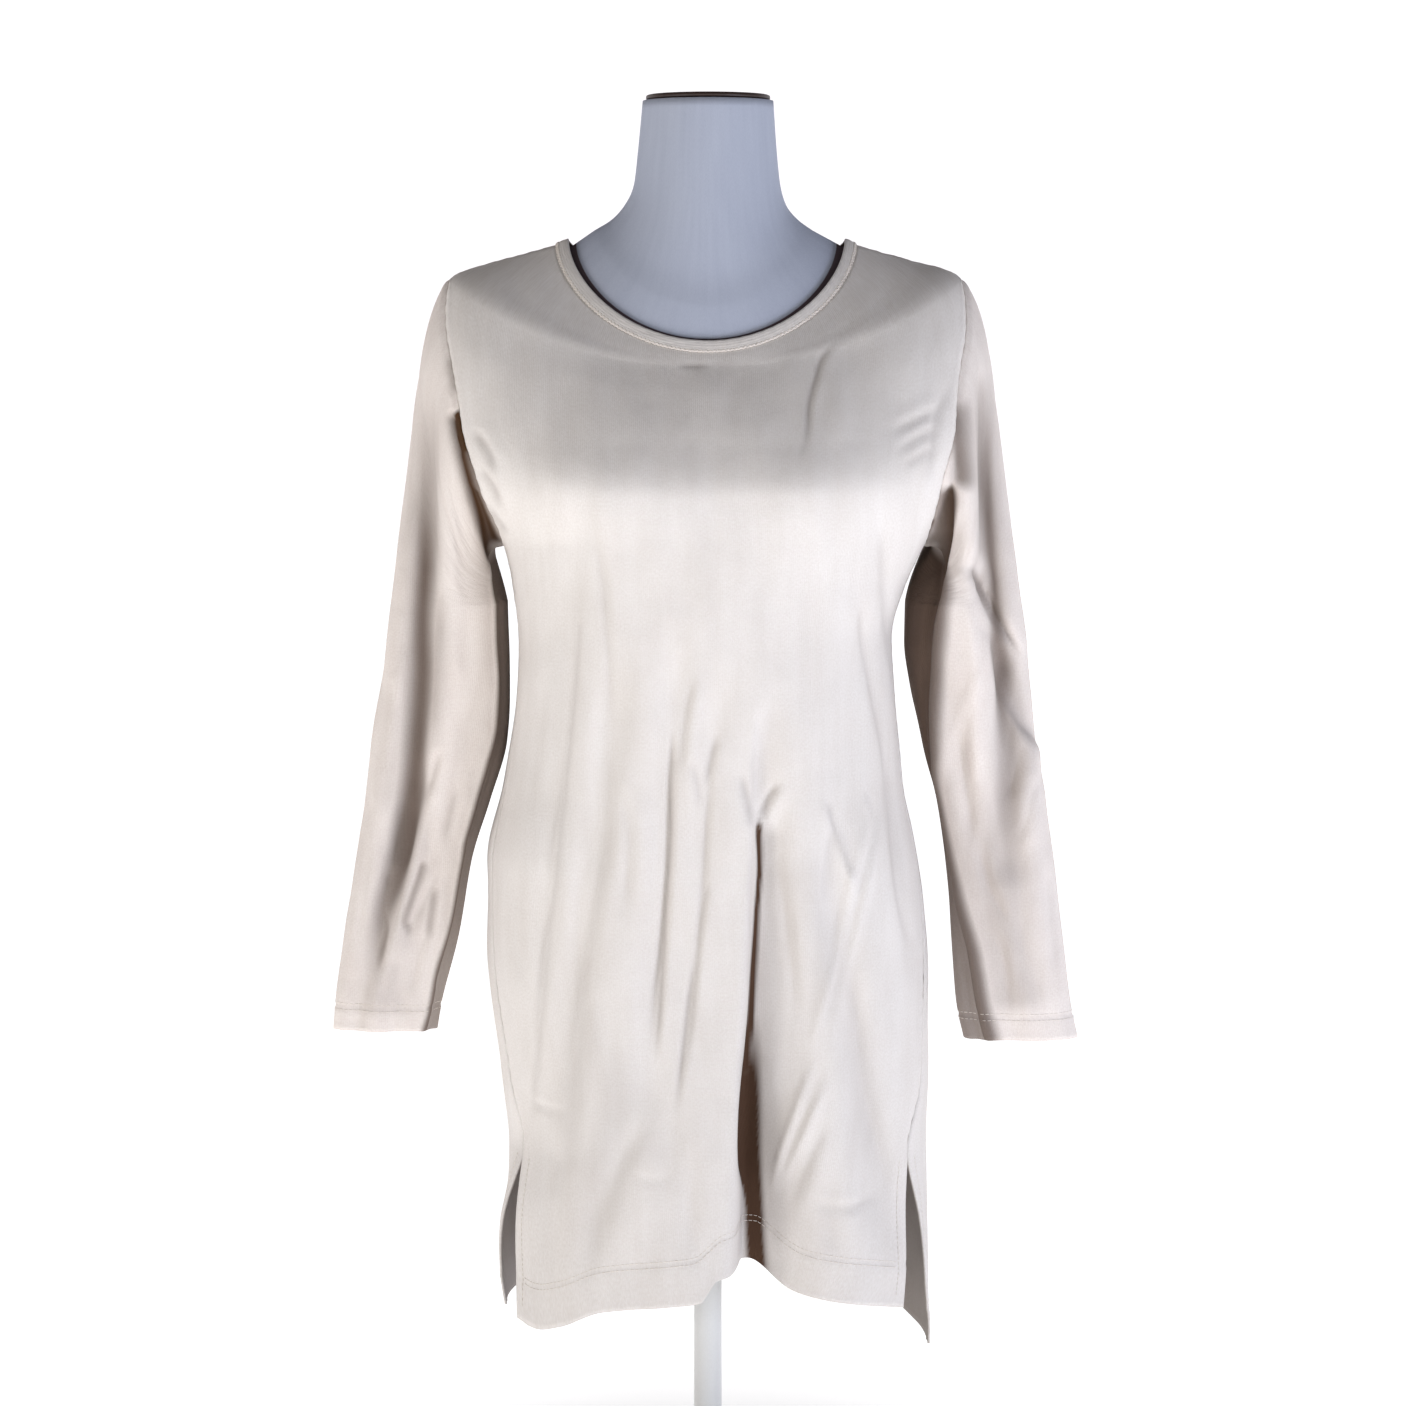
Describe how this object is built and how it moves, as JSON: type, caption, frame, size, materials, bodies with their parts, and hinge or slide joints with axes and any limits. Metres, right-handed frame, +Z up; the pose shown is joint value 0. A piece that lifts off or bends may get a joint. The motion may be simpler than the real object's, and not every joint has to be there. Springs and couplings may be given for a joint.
{
  "type": "tunic top on dress form",
  "caption": "Long-sleeved, hip-length jersey tunic with a scoop neck, bound neckline and side vents, worn by a limbless dress form on a counter stand.",
  "frame": {"origin": "centre of the underside of the stand's base", "axes": "+Z up, the garment's front faces -Y, +X is to the right of someone who looks at the front"},
  "size_m": [0.5836, 0.2633, 1.0875],
  "materials": {
    "cotton_jersey": "matt pale cream cotton jersey",
    "form_jersey": "matt bluish white jersey cover, pulled smooth",
    "stained_wood": "dark stained wood, satin",
    "painted_steel": "white powder coat, satin"
  },
  "bodies": {
    "root": {"front_panel": "cotton_jersey", "back_panel": "cotton_jersey", "sleeve_left": "cotton_jersey", "sleeve_right": "cotton_jersey", "neck_binding": "cotton_jersey", "form_torso": "form_jersey", "form_neck_cap": "stained_wood", "stand_flange": "painted_steel", "stand_pole": "painted_steel", "stand_base": "painted_steel"}
  },
  "joints": []
}
